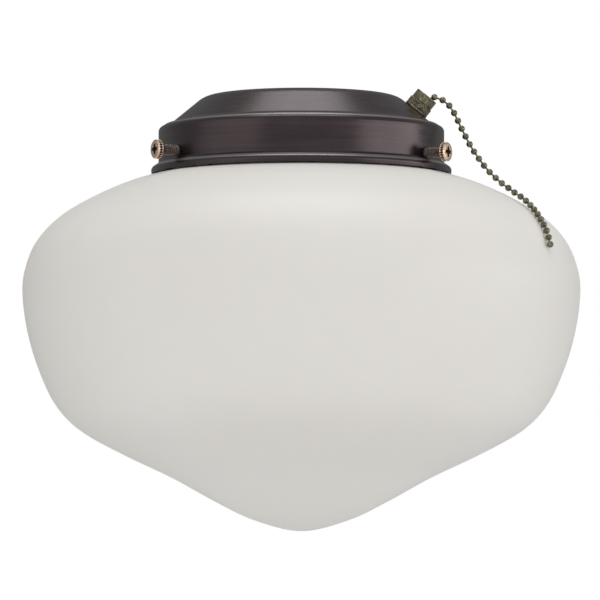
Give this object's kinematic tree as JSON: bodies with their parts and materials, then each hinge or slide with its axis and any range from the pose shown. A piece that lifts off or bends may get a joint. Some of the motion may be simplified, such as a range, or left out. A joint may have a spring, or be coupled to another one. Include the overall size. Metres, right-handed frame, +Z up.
{
  "type": "ceiling fan light kit",
  "caption": "Ceiling fan light kit: opal schoolhouse glass globe held by thumbscrews in a spun metal fitter pan, with a lampholder, bulb and pull chain switch.",
  "frame": {"origin": "centre of the fitter pan's top face, on the axis of its nipple hole", "axes": "+Z up along the axis of the globe, +X through the pull switch"},
  "size_m": [0.2046, 0.2046, 0.1622],
  "materials": {
    "bronze_paint": "dark oil-rubbed bronze, satin, fine spun lines",
    "opal_glass": "opal white glass, satin gloss",
    "plated_steel": "zinc plated",
    "dark_steel": "blackened thread with bright crests",
    "copper_head": "antique copper, worn bright on the rim and dark in the recesses",
    "antique_brass": "aged brass, dark green-brown",
    "bright_brass": "stamped and rolled brass",
    "porcelain": "white glaze",
    "phenolic": "moulded black phenolic",
    "fibre_board": "brown vulcanised fibre",
    "nylon": "natural nylon",
    "wire_jacket": "white insulation",
    "spring_steel": "music wire",
    "cap_metal": "rolled nickel-plated cap",
    "black_glass": "vitrite insulator",
    "bulb_glass": "soft white frosted glass",
    "clear_glass": "clear glass stem",
    "tungsten": "drawn wire"
  },
  "bodies": {
    "fixture": {"fitter_pan": "bronze_paint", "socket_bracket": "plated_steel", "bracket_rivets": "plated_steel", "glass_globe": "opal_glass", "lampholder_body": "porcelain", "lampholder_shell": "bright_brass", "lampholder_contact": "bright_brass", "lampholder_screws": "plated_steel", "lampholder_terminals": "bright_brass", "jumper_lead": "wire_jacket", "switch_housing": "phenolic", "switch_cover": "fibre_board", "switch_nipple": "antique_brass", "switch_inner_nut": "plated_steel", "switch_washer": "antique_brass", "switch_knurled_nut": "antique_brass", "switch_bell_mouth": "antique_brass", "switch_contacts": "bright_brass", "switch_terminals": "bright_brass"},
    "pull": {"pull_rod": "bright_brass", "return_spring": "spring_steel", "pull_chain": "antique_brass"},
    "rotor": {"switch_rotor": "nylon", "rotor_contact": "bright_brass"},
    "bulb_base": {"bulb_contact": "cap_metal", "bulb_insulator": "black_glass"},
    "bulb": {"bulb_cap": "cap_metal", "bulb_globe": "bulb_glass", "bulb_stem": "clear_glass", "bulb_filament": "tungsten"},
    "screw_right_shaft": {"screw_right_shank": "dark_steel"},
    "screw_right_knob": {"screw_right_head": "copper_head"},
    "screw_left_shaft": {"screw_left_shank": "dark_steel"},
    "screw_left_knob": {"screw_left_head": "copper_head"},
    "screw_back_shaft": {"screw_back_shank": "dark_steel"},
    "screw_back_knob": {"screw_back_head": "copper_head"}
  },
  "joints": [
    {"name": "chain_pull", "type": "slide", "parent": "fixture", "child": "pull", "axis": [0.6313, -0.0663, 0.7727], "range_m": [0, 0.005], "stiffness_N_per_m": 250, "springref_m": -0.004, "deforming": ["return_spring"]},
    {"name": "rotor_turn", "type": "hinge", "parent": "fixture", "child": "rotor", "pos_m": [0.0356, -0.00374, -0.01319], "axis": [0.6313, -0.0663, 0.7727], "range_deg": [0, 90]},
    {"name": "bulb_travel", "type": "slide", "parent": "fixture", "child": "bulb_base", "axis": [0, 0, -1], "range_m": [0, 0.02]},
    {"name": "bulb_turn", "type": "hinge", "parent": "bulb_base", "child": "bulb", "pos_m": [0, 0, -0.053], "axis": [0, 0, -1], "range_deg": [0, 1980]},
    {"name": "screw_right_travel", "type": "slide", "parent": "fixture", "child": "screw_right_shaft", "axis": [0.866, -0.5, 0], "range_m": [0, 0.00436]},
    {"name": "screw_right_turn", "type": "hinge", "parent": "screw_right_shaft", "child": "screw_right_knob", "pos_m": [0.05239, -0.03025, -0.0232], "axis": [0.866, -0.5, 0], "range_deg": [0, 1980]},
    {"name": "screw_left_travel", "type": "slide", "parent": "fixture", "child": "screw_left_shaft", "axis": [-0.866, -0.5, 0], "range_m": [0, 0.00436]},
    {"name": "screw_left_turn", "type": "hinge", "parent": "screw_left_shaft", "child": "screw_left_knob", "pos_m": [-0.05239, -0.03025, -0.0222], "axis": [-0.866, -0.5, 0], "range_deg": [0, 1980]},
    {"name": "screw_back_travel", "type": "slide", "parent": "fixture", "child": "screw_back_shaft", "axis": [0, 1, 0], "range_m": [0, 0.00436]},
    {"name": "screw_back_turn", "type": "hinge", "parent": "screw_back_shaft", "child": "screw_back_knob", "pos_m": [0, 0.0605, -0.0223], "axis": [0, 1, 0], "range_deg": [0, 1980]}
  ],
  "couplings": [
    {"joint": "rotor_turn", "follows": "chain_pull", "rad_per_m": 314.16},
    {"joint": "bulb_travel", "follows": "bulb_turn", "m_per_rad": 0.00057773},
    {"joint": "screw_right_turn", "follows": "screw_right_travel", "rad_per_m": 7915.8},
    {"joint": "screw_left_turn", "follows": "screw_left_travel", "rad_per_m": 7915.8},
    {"joint": "screw_back_turn", "follows": "screw_back_travel", "rad_per_m": 7915.8}
  ]
}
